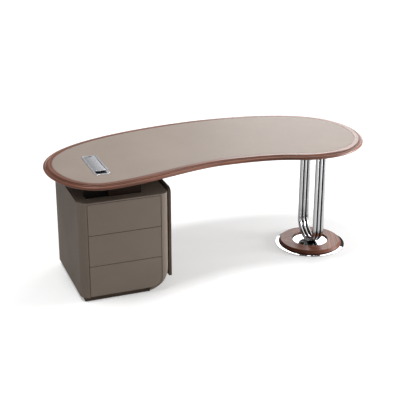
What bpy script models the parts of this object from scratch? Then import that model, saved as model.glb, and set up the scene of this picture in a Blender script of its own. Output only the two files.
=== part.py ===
"""Curved desk, modelled piece by piece in metres, with +Z up.

A kidney-shaped top with a moulded wooden rim and an inlaid leather surface stands on a pedestal with
three drawers at one end, and on three bent tubes over a round base at the other. The user sits at -Y,
the pedestal is at -X, and the origin is on the floor under the middle of the top.
"""

import math

import bmesh
import bpy
from mathutils import Vector
from mathutils.geometry import interpolate_bezier

# Overall size
desk_length = 2.110
desk_depth = 1.010
desk_height = 0.750

# Fits shared by all pieces
touch_gap = 0.0003
cut_overrun = 0.010
arc_steps = 8

# Kidney outline: its six extreme points, counterclockwise from the left end. Each has its place along
# the length and the depth, and how far the curve holds its direction before and after the point.
outline_steps = 14
outline_shares = (
    ("down", 0.000, 0.395, 0.561, 0.192),
    ("right", 0.134, 0.000, 0.081, 0.124),
    ("right", 0.500, 0.148, 0.106, 0.230),
    ("right", 0.812, 0.041, 0.109, 0.107),
    ("up", 1.000, 0.465, 0.257, 0.400),
    ("left", 0.558, 1.000, 0.237, 0.070),
)

# Top
top_thickness = 0.030
leather_thickness = 0.0025
rim_width = 0.058
seam_width = 0.004
rim_band_width = 0.027
rim_edge_round = 0.0012
rim_cove_radius = 0.0075
rim_foot = 0.0015
rim_quirk_angle = 150.0
rim_bead_steps = 10
rim_cove_steps = 3

# Power module let into the top
module_left_of_case_middle = 0.0853
module_riser_gap = 0.0073
module_width = 0.096
module_near_corner = 0.034
module_far_corner = 0.014
module_corner_steps = 5
bezel_width = 0.010
bezel_proud = 0.0025
bezel_edge_round = 0.001
tub_wall = 0.0015
tub_depth = 0.048
lid_opening = 0.063
lid_thickness = 0.0022
lid_side_clearance = 0.0006
lid_far_gap = 0.001
lid_near_corner = 0.004
lid_notch_width = 0.042
lid_notch_depth = 0.008
ledge_width = 0.004
ledge_height = 0.0035
socket_block_length = 0.064
socket_top_depth = 0.020
socket_margin = 0.0045
socket_ring_width = 0.002
socket_ring_proud = 0.001
socket_well_depth = 0.006
socket_floor = 0.005
socket_pin_radius_share = 0.16
socket_pin_spacing_share = 0.9
socket_steps = 24
socket_pin_steps = 8

# Pedestal case
pedestal_inset_left = 0.1133
pedestal_inset_front = 0.0537
pedestal_width = 0.554
pedestal_depth = 0.596
case_corner = 0.050
case_panel = 0.018
case_back_thickness = 0.012
case_top_lip = 0.008
toe_radius = 0.165
toe_lift = 0.008
toe_reach = 0.126
opening_lift = 0.002
opening_corner = 0.065
opening_top_corner = 0.010
opening_clearance = 0.0035
inner_panel = 0.016
inner_panel_gap = 0.001

# Plinth
plinth_height = 0.026
plinth_board = 0.016
plinth_inset_left = 0.022
plinth_inset_front = 0.015
plinth_inset_back = 0.030

# Riser blocks between the case and the top, from the middle of the case to either side
riser_height = 0.086
riser_block_left = 0.0773
riser_block_right = 0.1247
riser_block_setback = 0.066
riser_block_depth = 0.060
spacer_left = 0.2113
spacer_setback = 0.076
rear_riser_inset = 0.0694
rear_riser_depth = 0.040

# Side wing beside the knees
wing_gap = 0.0227
wing_thickness = 0.018
wing_setback = 0.089
wing_bottom = 0.045
wing_drop = 0.007
wing_corner = 0.034
batten_width = 0.030
batten_inset = 0.110
batten_bottom = 0.200
batten_top_inset = 0.045

# Drawers, counted from the top
drawer_count = 3
front_gap = 0.003
front_thickness = 0.020
front_edge_round = 0.0012
box_wall = 0.012
box_back_clearance = 0.0637
box_toe_clearance = 0.009
box_top_drop = 0.0283
box_bottom_thickness = 0.006
box_bottom_lift = 0.008

# Telescopic runners
runner_width = 0.0127
runner_height = 0.046
runner_shortfall = 0.010
runner_sheet = 0.0012
runner_play = 0.0006
runner_lip = 0.0075
runner_setback = 0.0025

# Tube leg
leg_from_right = 0.3363
leg_from_front = 0.3777
tube_count = 3
tube_diameter = 0.025
tube_side_gap = 0.0006
tube_spacing = 0.224
tube_arc_steps = 20
tube_side_resolution = 6
head_plate_margin = 0.026
head_plate_thickness = 0.006
head_plate_corner = 0.015

# Round base
base_radius = 0.230
base_thickness = 0.006
base_edge_round = 0.003
base_boss_height = 0.019
base_boss_round = 0.004
ring_inset = 0.0207
ring_bevel = 0.0108
ring_inner_radius = 0.118
ring_thickness = 0.022
ring_edge_height = 0.003
ring_edge_round = 0.002
pad_inset = 0.014
pad_thickness = 0.002
turn_steps = 56

# Places worked out from the sizes above: the top and the case
underside = desk_height - top_thickness
board_top = desk_height - leather_thickness - touch_gap
rim_bead_radius = (top_thickness - rim_cove_radius - rim_foot) / 2
pedestal_height = underside - riser_height
half_case = pedestal_width / 2
half_opening = half_case - case_corner
pedestal_x = -desk_length / 2 + pedestal_inset_left + half_case
pedestal_y = -desk_depth / 2 + pedestal_inset_front
toe_centre_x = half_case - toe_radius
toe_centre_z = toe_lift + toe_radius
toe_end = half_case - toe_reach
opening_top = pedestal_height - case_top_lip
opening_bottom = plinth_height + opening_lift
opening_depth = front_thickness + opening_clearance
inner_setback = opening_depth + inner_panel_gap

# The power module, between the risers
riser_far = riser_block_setback + riser_block_depth
rear_riser_near = pedestal_depth - rear_riser_inset - rear_riser_depth
module_x = pedestal_x - module_left_of_case_middle
module_y = pedestal_y + (riser_far + rear_riser_near) / 2
module_length = rear_riser_near - riser_far - 2 * module_riser_gap
module_inside_length = module_length - 2 * bezel_width
module_inside_width = module_width - 2 * bezel_width
lid_length = module_inside_length - lid_far_gap - lid_opening
socket_radius = (module_inside_width - 3 * socket_margin) / 4
socket_spacing = 2 * socket_radius + socket_margin
tub_low = board_top - tub_depth

# The drawers, whose boxes clear the round foot of the case
front_pitch = (opening_top - opening_bottom - front_gap) / drawer_count
front_height = front_pitch - front_gap
box_half_width = half_opening - runner_width - 2 * touch_gap
toe_inside_radius = toe_radius - case_panel
toe_under_box = toe_centre_z - math.sqrt(toe_inside_radius ** 2 - (box_half_width - toe_centre_x) ** 2)
box_lift = toe_under_box + box_toe_clearance - opening_bottom - front_gap
box_height = front_height - box_lift - box_top_drop
box_length = pedestal_depth - case_back_thickness - front_thickness - touch_gap - box_back_clearance
runner_length = box_length - runner_shortfall
runner_near = inner_setback + runner_setback

# The leg and its base
leg_x = desk_length / 2 - leg_from_right
leg_y = -desk_depth / 2 + leg_from_front
tube_pitch = tube_diameter + tube_side_gap
head_plate_length = tube_spacing + tube_diameter + 2 * head_plate_margin
head_plate_width = tube_pitch * tube_count + 2 * head_plate_margin
ring_outer_radius = base_radius - ring_inset
ring_top_radius = ring_outer_radius - ring_bevel
pad_radius = base_radius - pad_inset


def clear_scene():
    for item in list(bpy.data.objects):
        bpy.data.objects.remove(item, do_unlink=True)


def make_finish(name, colour, roughness, metallic=0.0):
    finish = bpy.data.materials.new(name)
    finish.use_nodes = True
    shader = finish.node_tree.nodes["Principled BSDF"]
    shader.inputs["Base Color"].default_value = (*colour, 1.0)
    shader.inputs["Roughness"].default_value = roughness
    shader.inputs["Metallic"].default_value = metallic
    finish.diffuse_color = (*colour, 1.0)
    return finish


def make_anchor(name, place, parent=None):
    """An empty that carries a group of pieces."""
    anchor = bpy.data.objects.new(name, None)
    anchor.location = place
    anchor.parent = parent
    bpy.context.scene.collection.objects.link(anchor)
    return anchor


def make_piece(name, solid, finish, parent=None, place=(0, 0, 0)):
    """Turn a bmesh into a named object whose faces point outwards."""
    bmesh.ops.recalc_face_normals(solid, faces=solid.faces)
    mesh = bpy.data.meshes.new(name)
    solid.to_mesh(mesh)
    solid.free()
    if finish:
        mesh.materials.append(finish)
    piece = bpy.data.objects.new(name, mesh)
    piece.location = place
    piece.parent = parent
    bpy.context.scene.collection.objects.link(piece)
    return piece


def smooth_round_faces(piece, angle=35.0):
    piece.data.shade_smooth()
    piece.data.set_sharp_from_angle(angle=math.radians(angle))


def round_edges(piece, width, segments=2):
    """Round the sharp outer edges of a plain board."""
    bevel = piece.modifiers.new("edge_round", "BEVEL")
    bevel.width = width
    bevel.segments = segments
    bevel.limit_method = "ANGLE"
    bevel.angle_limit = math.radians(40.0)


def as_cutter(piece):
    piece.hide_render = True
    piece.display_type = "WIRE"
    return piece


def combine(piece, other, operation="DIFFERENCE"):
    boolean = piece.modifiers.new(operation.lower(), "BOOLEAN")
    boolean.operation = operation
    boolean.solver = "EXACT"
    boolean.object = as_cutter(other)


def arc(centre, radius, start, stop, steps=arc_steps):
    """Points on an arc, from the start angle to the stop angle in degrees, both included."""
    points = []
    for step in range(steps + 1):
        angle = math.radians(start + (stop - start) * step / steps)
        points.append((centre[0] + radius * math.cos(angle), centre[1] + radius * math.sin(angle)))
    return points


def circle(centre, radius, steps):
    return arc(centre, radius, 0, 360.0, steps)[:-1]


def rounded_rectangle(low, high, corners, steps=arc_steps):
    """A rectangle from low to high with a radius for each corner, counterclockwise from low.

    A corner of radius 0 is a single point.
    """
    inwards = ((1, 1), (-1, 1), (-1, -1), (1, -1))
    points = []
    for turn, radius in enumerate(corners):
        x = low[0] if inwards[turn][0] == 1 else high[0]
        y = low[1] if inwards[turn][1] == 1 else high[1]
        if radius == 0:
            points.append((x, y))
            continue
        centre = (x + inwards[turn][0] * radius, y + inwards[turn][1] * radius)
        start = 180.0 + 90.0 * turn
        points.extend(arc(centre, radius, start, start + 90.0, steps))
    return points


def place_in_axis(point, axis, level):
    """Stand a flat outline square to an axis: (x, y) on Z, (x, z) on Y and (y, z) on X."""
    if axis == "Z":
        return (point[0], point[1], level)
    if axis == "Y":
        return (point[0], level, point[1])
    return (level, point[0], point[1])


def add_prism(solid, outline, axis, low, high):
    bottom = [solid.verts.new(place_in_axis(point, axis, low)) for point in outline]
    face = solid.faces.new(bottom)
    grown = bmesh.ops.extrude_face_region(solid, geom=[face])
    moved = [item for item in grown["geom"] if isinstance(item, bmesh.types.BMVert)]
    shift = Vector(place_in_axis((0, 0), axis, high - low))
    bmesh.ops.translate(solid, verts=moved, vec=shift)


def prism(name, outline, axis, low, high, finish=None, parent=None, place=(0, 0, 0)):
    solid = bmesh.new()
    add_prism(solid, outline, axis, low, high)
    return make_piece(name, solid, finish, parent, place)


def frame_prism(name, outer, inner, axis, low, high, finish, parent=None, place=(0, 0, 0)):
    """A closed frame between two outlines with the same number of points."""
    solid = bmesh.new()
    loops = []
    for outline, level in ((outer, low), (outer, high), (inner, high), (inner, low)):
        loops.append([solid.verts.new(place_in_axis(point, axis, level)) for point in outline])
    count = len(outer)
    for loop, following in zip(loops, loops[1:] + loops[:1]):
        for index in range(count):
            after = (index + 1) % count
            solid.faces.new((loop[index], loop[after], following[after], following[index]))
    return make_piece(name, solid, finish, parent, place)


def turned(name, profile, finish, parent=None, place=(0, 0, 0), steps=turn_steps):
    """Spin a closed profile of (radius, height) points about the upright axis."""
    solid = bmesh.new()
    rings = []
    for radius, height in profile:
        if radius == 0:
            rings.append([solid.verts.new((0, 0, height))])
            continue
        ring = []
        for step in range(steps):
            angle = math.tau * step / steps
            ring.append(solid.verts.new((radius * math.cos(angle), radius * math.sin(angle), height)))
        rings.append(ring)
    for ring, following in zip(rings, rings[1:] + rings[:1]):
        if len(ring) == 1 and len(following) == 1:
            continue
        for step in range(steps):
            after = (step + 1) % steps
            corners = [ring[step % len(ring)], ring[after % len(ring)]]
            corners += [following[after % len(following)], following[step % len(following)]]
            solid.faces.new(list(dict.fromkeys(corners)))
    piece = make_piece(name, solid, finish, parent, place)
    smooth_round_faces(piece)
    return piece


def box_outline(low, high):
    return rounded_rectangle(low, high, (0, 0, 0, 0))


# Kidney outline

def kidney_outline():
    """The outermost line of the top, seen from above."""
    directions = {"down": (0, -1), "right": (1, 0), "up": (0, 1), "left": (-1, 0)}
    nodes = []
    for heading, x_share, y_share, before_share, after_share in outline_shares:
        direction = Vector(directions[heading])
        reach = direction * (desk_length if direction.x else desk_depth)
        point = Vector((desk_length * (x_share - 1 / 2), desk_depth * (y_share - 1 / 2)))
        nodes.append((point, point - reach * before_share, point + reach * after_share))
    points = []
    for node, following in zip(nodes, nodes[1:] + nodes[:1]):
        stretch = interpolate_bezier(node[0], node[2], following[1], following[0], outline_steps + 1)
        points.extend(stretch[:-1])
    return points


def outward_normals(points):
    normals = []
    count = len(points)
    for index in range(count):
        along = points[(index + 1) % count] - points[index - 1]
        normals.append(Vector((along.y, -along.x)).normalized())
    return normals


def inset_outline(points, distance):
    """The outline moved inwards by the same distance all round."""
    return [point - normal * distance for point, normal in zip(points, outward_normals(points))]


# Top

def rim_profile():
    """Cross-section of the rim: distance out from the leather's edge, and height from the leather."""
    band_end = seam_width + rim_band_width
    cove_end = band_end + rim_cove_radius
    bead_centre = (rim_width - rim_bead_radius, -rim_cove_radius - rim_bead_radius + touch_gap)
    section = [(seam_width, -top_thickness), (seam_width, -rim_edge_round), (seam_width + rim_edge_round, 0)]
    section += arc((cove_end, 0), rim_cove_radius, 180.0, 270.0, rim_cove_steps)
    section += arc(bead_centre, rim_bead_radius, rim_quirk_angle, -90.0, rim_bead_steps)
    section.append((bead_centre[0] - rim_edge_round, -top_thickness))
    return section


def build_rim(outline, finish):
    section = rim_profile()
    normals = outward_normals(outline)
    solid = bmesh.new()
    rings = []
    for point, normal in zip(outline, normals):
        ring = []
        for outwards, height in section:
            spot = point + normal * (outwards - rim_width)
            ring.append(solid.verts.new((spot.x, spot.y, desk_height + height)))
        rings.append(ring)
    count = len(section)
    for ring, following in zip(rings, rings[1:] + rings[:1]):
        for index in range(count):
            after = (index + 1) % count
            solid.faces.new((ring[index], ring[after], following[after], following[index]))
    rim = make_piece("wood_rim", solid, finish)
    smooth_round_faces(rim)
    return rim


def module_outline(inset):
    """The power module's rounded outline, seen from above, moved in by a distance."""
    half_width = module_width / 2 - inset
    half_length = module_length / 2 - inset
    near = module_near_corner - inset
    far = module_far_corner - inset
    corners = (near, near, far, far)
    high = (half_width, half_length)
    return rounded_rectangle((-half_width, -half_length), high, corners, module_corner_steps)


def build_top(finishes, module):
    outline = kidney_outline()
    build_rim(outline, finishes["walnut"])

    leather_line = inset_outline(outline, rim_width)
    leather = prism("leather_top", leather_line, "Z", board_top + touch_gap, desk_height, finishes["leather"])
    above = desk_height + cut_overrun
    combine(leather, prism("leather_hole", module_outline(-touch_gap), "Z", underside, above, parent=module))

    board_line = inset_outline(outline, rim_width - seam_width + touch_gap)
    board = prism("top_board", board_line, "Z", underside, board_top, finishes["board"])
    tub_hole = module_outline(bezel_width - tub_wall - touch_gap)
    below = underside - cut_overrun
    combine(board, prism("board_hole", tub_hole, "Z", below, desk_height, parent=module))


# Power module

def build_bezel_and_tub(finishes, module):
    bezel_low = board_top + touch_gap
    bezel = frame_prism("power_bezel", module_outline(0), module_outline(bezel_width), "Z",
                        bezel_low, desk_height + bezel_proud, finishes["aluminium"], module)
    round_edges(bezel, bezel_edge_round)

    tub_line = module_outline(bezel_width - tub_wall)
    tub = prism("power_tub", tub_line, "Z", tub_low, board_top, finishes["dark"], module)
    ledge_low = board_top - ledge_height
    floor = tub_low + tub_wall
    combine(tub, prism("tub_hollow", module_outline(bezel_width), "Z", floor, ledge_low, parent=module))
    half_mouth = module_inside_width / 2 - ledge_width
    half_length = module_inside_length / 2
    near = module_near_corner - bezel_width - ledge_width
    mouth_low = (-half_mouth, -half_length)
    mouth_high = (half_mouth, half_length)
    mouth_line = rounded_rectangle(mouth_low, mouth_high, (near, near, 0, 0), module_corner_steps)
    above = board_top + cut_overrun
    combine(tub, prism("tub_mouth", mouth_line, "Z", ledge_low - cut_overrun, above, parent=module))


def build_lid(finishes, module):
    """The flat cover that slides over the sockets, with a finger notch in its far edge."""
    carriage = make_anchor("lid_slide", (0, 0, board_top + touch_gap), module)
    far = module_inside_length / 2 - lid_far_gap
    half_width = module_inside_width / 2 - lid_side_clearance
    far_corner = module_far_corner - bezel_width
    corners = (lid_near_corner, lid_near_corner, far_corner, far_corner)
    line = rounded_rectangle((-half_width, far - lid_length), (half_width, far), corners, module_corner_steps)
    lid = prism("power_lid", line, "Z", 0, lid_thickness, finishes["aluminium"], carriage)

    half_notch = lid_notch_width / 2
    notch_radius = (half_notch ** 2 + lid_notch_depth ** 2) / (2 * lid_notch_depth)
    half_angle = math.degrees(math.asin(half_notch / notch_radius))
    centre = (0, far - lid_notch_depth + notch_radius)
    notch_line = arc(centre, notch_radius, 270.0 - half_angle, 270.0 + half_angle)
    notch_line += [(half_notch, far + cut_overrun), (-half_notch, far + cut_overrun)]
    notch = prism("lid_notch", notch_line, "Z", -cut_overrun, lid_thickness + cut_overrun, parent=carriage)
    combine(lid, notch)


def build_socket_block(finishes, module):
    low = tub_low + tub_wall + touch_gap
    high = desk_height - socket_top_depth
    near = -module_inside_length / 2 + touch_gap
    half_width = module_inside_width / 2 - touch_gap
    corner = module_near_corner - bezel_width - touch_gap
    far = near + socket_block_length
    corners = (corner, corner, 0, 0)
    line = rounded_rectangle((-half_width, near), (half_width, far), corners, module_corner_steps)
    block = prism("socket_block", line, "Z", low, high, finishes["grey"], module)

    middle = near + socket_block_length / 2
    well_low = high - socket_well_depth
    for side, name in ((-1, "socket_left"), (1, "socket_right")):
        x = side * socket_spacing / 2
        well_line = circle((x, middle), socket_radius + touch_gap, socket_steps)
        well = prism(name + "_well", well_line, "Z", well_low - touch_gap, high + cut_overrun, parent=module)
        combine(block, well)
        build_socket(name, finishes["white"], module, (x, middle, well_low))


def build_socket(name, finish, parent, place):
    """A round outlet: a shallow cup with a raised lip and two pin holes."""
    height = socket_well_depth + socket_ring_proud
    inner = socket_radius - socket_ring_width
    floor = socket_floor
    profile = [(0, 0), (socket_radius, 0), (socket_radius, height)]
    profile += [(inner, height), (inner, floor), (0, floor)]
    cup = turned(name, profile, finish, parent, place, socket_steps)
    pin_radius = socket_radius * socket_pin_radius_share
    pin_offset = socket_radius * socket_pin_spacing_share / 2
    for side in (-1, 1):
        hole_line = circle((side * pin_offset, 0), pin_radius, socket_pin_steps)
        hole = prism(name + "_pin_hole", hole_line, "Z", floor / 2, floor + cut_overrun, None, parent, place)
        combine(cup, hole)


# Pedestal case

def side_plan():
    """The right side panel from above: straight, then round the front corner to the drawers."""
    centre = (half_opening, case_corner)
    outer = arc(centre, case_corner, -90.0, 0)
    inner = arc(centre, case_corner - case_panel, 0, -90.0)
    return outer + [(half_case, pedestal_depth), (half_case - case_panel, pedestal_depth)] + inner


def mirrored(outline):
    return [(-x, y) for x, y in reversed(outline)]


def toe_arc(radius, end):
    """The round at the foot of the right side, from its end near the plinth up to the upright side."""
    start = -math.degrees(math.acos((end - toe_centre_x) / radius))
    return arc((toe_centre_x, toe_centre_z), radius, start, 0, 14)


def build_left_side(finishes, pedestal):
    low = plinth_height + touch_gap
    line = mirrored(side_plan())
    panel = prism("case_left_side", line, "Z", low, pedestal_height, finishes["lacquer"], pedestal)
    smooth_round_faces(panel)


def build_right_side(finishes, pedestal):
    """The side that rounds in at its foot: a block with a curved toe, rounded in plan and hollowed out."""
    block_line = toe_arc(toe_radius, toe_end) + [(half_case, pedestal_height), (toe_end, pedestal_height)]
    block = prism("case_right_side", block_line, "Y", 0, pedestal_depth, finishes["lacquer"], pedestal)

    plan_low = toe_end - cut_overrun
    plan_line = [(plan_low, 0)] + arc((half_opening, case_corner), case_corner, -90.0, 0)
    plan_line += [(half_case, pedestal_depth), (plan_low, pedestal_depth)]
    above = pedestal_height + cut_overrun
    plan = prism("right_side_plan", plan_line, "Z", -cut_overrun, above, parent=pedestal)
    combine(block, plan, "INTERSECT")

    hollow_end = toe_end - 2 * cut_overrun
    inside = half_case - case_panel
    hollow_line = toe_arc(toe_inside_radius, hollow_end) + [(inside, above), (hollow_end, above)]
    behind = pedestal_depth + cut_overrun
    hollow = prism("right_side_hollow", hollow_line, "Y", case_panel, behind, parent=pedestal)
    hollow_plan_line = [(hollow_end - cut_overrun, case_panel)]
    hollow_plan_line += arc((half_opening, case_corner), case_corner - case_panel, -90.0, 0)
    hollow_plan_line += [(inside, behind + cut_overrun), (hollow_end - cut_overrun, behind + cut_overrun)]
    higher = above + cut_overrun
    hollow_plan = prism("hollow_plan", hollow_plan_line, "Z", -cut_overrun, higher, parent=pedestal)
    combine(hollow, hollow_plan, "INTERSECT")
    combine(block, hollow)

    # The drawer field's edge: upright beside the drawers, then round under the lowest one
    corner = (half_opening - opening_corner, opening_bottom + opening_corner)
    opening_line = [(hollow_end, opening_bottom)] + arc(corner, opening_corner, -90.0, 0)
    opening_line += [(half_opening, above), (hollow_end, above)]
    combine(block, prism("field_cut", opening_line, "Y", -cut_overrun, opening_depth, parent=pedestal))
    smooth_round_faces(block)


def build_case(finishes, pedestal):
    build_left_side(finishes, pedestal)
    build_right_side(finishes, pedestal)

    inside = half_case - case_panel - touch_gap
    half_band = half_opening - touch_gap
    inner_arc = arc((half_opening, case_corner), case_corner - case_panel - touch_gap, -90.0, 0)
    back_front = pedestal_depth - case_back_thickness
    half_top = [(half_band, 0)] + [(min(x, inside), y) for x, y in inner_arc[1:]] + [(inside, back_front)]
    half_top.insert(1, (half_band, inner_arc[0][1]))
    top_line = half_top + mirrored(half_top)
    top_low = pedestal_height - case_panel
    top = prism("case_top", top_line, "Z", top_low, pedestal_height, finishes["lacquer"], pedestal)
    lip_corners = (0, 0, opening_top_corner, opening_top_corner)
    lip_low = (-half_opening, top_low - cut_overrun)
    lip_line = rounded_rectangle(lip_low, (half_opening, opening_top), lip_corners)
    combine(top, prism("top_lip_cut", lip_line, "Y", -cut_overrun, opening_depth, parent=pedestal))

    bottom_low = plinth_height + touch_gap
    bottom_right = toe_end - touch_gap
    bottom_far = back_front - touch_gap
    bottom_line = [(-half_opening, inner_setback), (bottom_right, inner_setback), (bottom_right, bottom_far)]
    bottom_line += [(-inside, bottom_far), (-inside, case_corner)]
    prism("case_bottom", bottom_line, "Z", bottom_low, bottom_low + case_panel, finishes["dark"], pedestal)

    reach = toe_inside_radius - touch_gap
    back_line = toe_arc(reach, toe_end - case_panel) + [(inside, pedestal_height), (-inside, pedestal_height)]
    back_line += [(-inside, back_line[0][1])]
    prism("case_back", back_line, "Y", back_front + touch_gap, pedestal_depth, finishes["lacquer"], pedestal)

    panel_high = top_low - touch_gap
    outside = half_opening + inner_panel
    right_low = toe_centre_z - math.sqrt(reach ** 2 - (outside - toe_centre_x) ** 2)
    left_low = bottom_low + case_panel + touch_gap
    panel_line = box_outline((inner_setback, left_low), (back_front - touch_gap, panel_high))
    prism("inner_panel_left", panel_line, "X", -outside, -half_opening, finishes["dark"], pedestal)
    panel_line = box_outline((inner_setback, right_low), (back_front - touch_gap, panel_high))
    prism("inner_panel_right", panel_line, "X", half_opening, outside, finishes["dark"], pedestal)


def build_plinth(finishes, pedestal):
    left = -half_case + plinth_inset_left
    right = toe_end - touch_gap
    near = plinth_inset_front
    far = pedestal_depth - plinth_inset_back
    outer = box_outline((left, near), (right, far))
    inner_low = (left + plinth_board, near + plinth_board)
    inner = box_outline(inner_low, (right - plinth_board, far - plinth_board))
    frame_prism("plinth", outer, inner, "Z", 0, plinth_height, finishes["black"], pedestal)


def build_risers(finishes, pedestal):
    low = pedestal_height + touch_gap
    high = underside - touch_gap
    block_line = box_outline((-riser_block_left, riser_block_setback), (riser_block_right, riser_far))
    prism("riser_block", block_line, "Z", low, high, finishes["brown"], pedestal)
    spacer_line = box_outline((-spacer_left, spacer_setback), (-riser_block_left - touch_gap, riser_far))
    prism("riser_spacer", spacer_line, "Z", low, high, finishes["black"], pedestal)
    rear_far = rear_riser_near + rear_riser_depth
    rear_line = box_outline((-spacer_left, rear_riser_near), (riser_block_right, rear_far))
    prism("riser_rear", rear_line, "Z", low, high, finishes["black"], pedestal)


def build_wing(finishes, pedestal):
    near = half_case + wing_gap
    high = pedestal_height - wing_drop
    wing_line = rounded_rectangle((wing_setback, wing_bottom), (pedestal_depth, high), (0, 0, 0, wing_corner))
    wing = prism("wing_panel", wing_line, "X", near, near + wing_thickness, finishes["brown"], pedestal)
    round_edges(wing, front_edge_round)
    batten_high = high - batten_top_inset
    places = {
        "wing_batten_front": wing_setback + batten_inset,
        "wing_batten_rear": pedestal_depth - batten_inset - batten_width,
    }
    for name, y in places.items():
        line = box_outline((y, batten_bottom), (y + batten_width, batten_high))
        prism(name, line, "X", half_case + touch_gap, near - touch_gap, finishes["black"], pedestal)


# Drawers and their runners

def front_outline(number):
    """A drawer front from the front. The ends of the stack follow the corners of the opening."""
    low = opening_top - number * front_pitch
    half_width = half_opening - front_gap
    corners = [0, 0, 0, 0]
    if number == 1:
        corners[2] = corners[3] = opening_top_corner - front_gap
    if number == drawer_count:
        corners[1] = opening_corner - front_gap
    return rounded_rectangle((-half_width, low), (half_width, low + front_height), corners)


def runner_outline(side, inset, web, tip):
    """A C-shaped runner member from the front, with its web and its lips' tips out from the case wall."""
    top = runner_height / 2 - inset
    web_face = web + math.copysign(runner_sheet, tip - web)
    points = [(web, -top), (tip, -top), (tip, -top + runner_sheet), (web_face, -top + runner_sheet)]
    points += [(web_face, top - runner_sheet), (tip, top - runner_sheet), (tip, top), (web, top)]
    wall = half_opening - touch_gap
    return [(side * (wall - across), up) for across, up in points]


def build_runner(number, height, finishes, pedestal, middle, drawer):
    """Three nested members on each side: one on the case, one between, and one on the drawer."""
    step = runner_sheet + runner_play
    members = (
        ("case", 0, 0, runner_lip, pedestal),
        ("middle", step, step, step + runner_lip, middle),
        ("drawer", 2 * step, runner_width, runner_width - runner_lip, drawer),
    )
    for side, side_name in ((-1, "left"), (1, "right")):
        for member, inset, web, tip, carrier in members:
            name = f"runner_{member}_{side_name}_{number}"
            line = runner_outline(side, inset, web, tip)
            far = runner_near + runner_length
            prism(name, line, "Y", runner_near, far, finishes["steel"], carrier, (0, 0, height))


def build_drawer(number, finishes, pedestal):
    front_low = opening_top - number * front_pitch
    box_low = front_low + box_lift
    drawer = make_anchor(f"drawer_{number}_slide", (0, 0, 0), pedestal)
    middle = make_anchor(f"runner_{number}_slide", (0, 0, 0), pedestal)

    front_line = front_outline(number)
    front = prism(f"drawer_front_{number}", front_line, "Y", 0, front_thickness, finishes["lacquer"], drawer)
    round_edges(front, front_edge_round)

    near = front_thickness + touch_gap
    far = near + box_length
    inside = box_half_width - box_wall
    outer = box_outline((-box_half_width, near), (box_half_width, far))
    inner = box_outline((-inside, near + box_wall), (inside, far - box_wall))
    box_high = box_low + box_height
    frame_prism(f"drawer_box_{number}", outer, inner, "Z", box_low, box_high, finishes["birch"], drawer)

    panel = inside - touch_gap
    edge = box_wall + touch_gap
    bottom_line = box_outline((-panel, near + edge), (panel, far - edge))
    bottom_low = box_low + box_bottom_lift
    bottom_high = bottom_low + box_bottom_thickness
    prism(f"drawer_bottom_{number}", bottom_line, "Z", bottom_low, bottom_high, finishes["birch"], drawer)

    build_runner(number, box_low + box_height / 2, finishes, pedestal, middle, drawer)


# Leg and base

def build_tube(name, x, finish, leg):
    """One long tube bent into a U, from the head plate down to the base and up again."""
    radius = tube_diameter / 2
    bend = tube_spacing / 2
    bottom = base_boss_height + pad_thickness + touch_gap + radius
    top = underside - head_plate_thickness - 2 * touch_gap
    centre_height = bottom + bend
    path = [(-bend, top)] + arc((0, centre_height), bend, 180.0, 360.0, tube_arc_steps) + [(bend, top)]
    curve = bpy.data.curves.new(name, "CURVE")
    curve.dimensions = "3D"
    curve.bevel_depth = radius
    curve.bevel_resolution = tube_side_resolution
    curve.use_fill_caps = True
    spline = curve.splines.new("POLY")
    spline.points.add(len(path) - 1)
    for point, (y, z) in zip(spline.points, path):
        point.co = (0, y, z, 1)
    curve.materials.append(finish)
    tube = bpy.data.objects.new(name, curve)
    tube.location = (x, 0, 0)
    tube.parent = leg
    bpy.context.scene.collection.objects.link(tube)


def build_leg(finishes, leg):
    for index in range(tube_count):
        offset = (index - (tube_count - 1) / 2) * tube_pitch
        build_tube(f"leg_tube_{index + 1}", offset, finishes["chrome"], leg)

    plate_high = underside - touch_gap
    plate_low = plate_high - head_plate_thickness
    half = (head_plate_width / 2, head_plate_length / 2)
    plate_line = rounded_rectangle((-half[0], -half[1]), half, (head_plate_corner,) * 4)
    prism("leg_head_plate", plate_line, "Z", plate_low, plate_high, finishes["black"], leg)


def base_profile():
    low = pad_thickness + touch_gap
    high = low + base_thickness
    boss_radius = ring_inner_radius - touch_gap
    boss_high = base_boss_height + pad_thickness
    rim = arc((base_radius - base_edge_round, high - base_edge_round), base_edge_round, 0, 90.0, 4)
    boss = arc((boss_radius - base_boss_round, boss_high - base_boss_round), base_boss_round, 0, 90.0, 4)
    return [(0, low), (base_radius, low)] + rim + [(boss_radius, high)] + boss + [(0, boss_high)]


def ring_profile():
    low = pad_thickness + base_thickness + 2 * touch_gap
    high = low + ring_thickness
    edge_height = high - ring_edge_round
    outer_top = arc((ring_top_radius - ring_edge_round, edge_height), ring_edge_round, 30.0, 90.0, 3)
    inner_top = arc((ring_inner_radius + ring_edge_round, edge_height), ring_edge_round, 90.0, 180.0, 3)
    outer = [(ring_outer_radius, low), (ring_outer_radius, low + ring_edge_height)]
    return [(ring_inner_radius, low)] + outer + outer_top + inner_top


def build_base(finishes, leg):
    turned("base_disc", base_profile(), finishes["chrome"], leg)
    turned("base_ring", ring_profile(), finishes["walnut"], leg)
    pad = [(0, 0), (pad_radius, 0), (pad_radius, pad_thickness), (0, pad_thickness)]
    turned("base_pad", pad, finishes["black"], leg)


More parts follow.
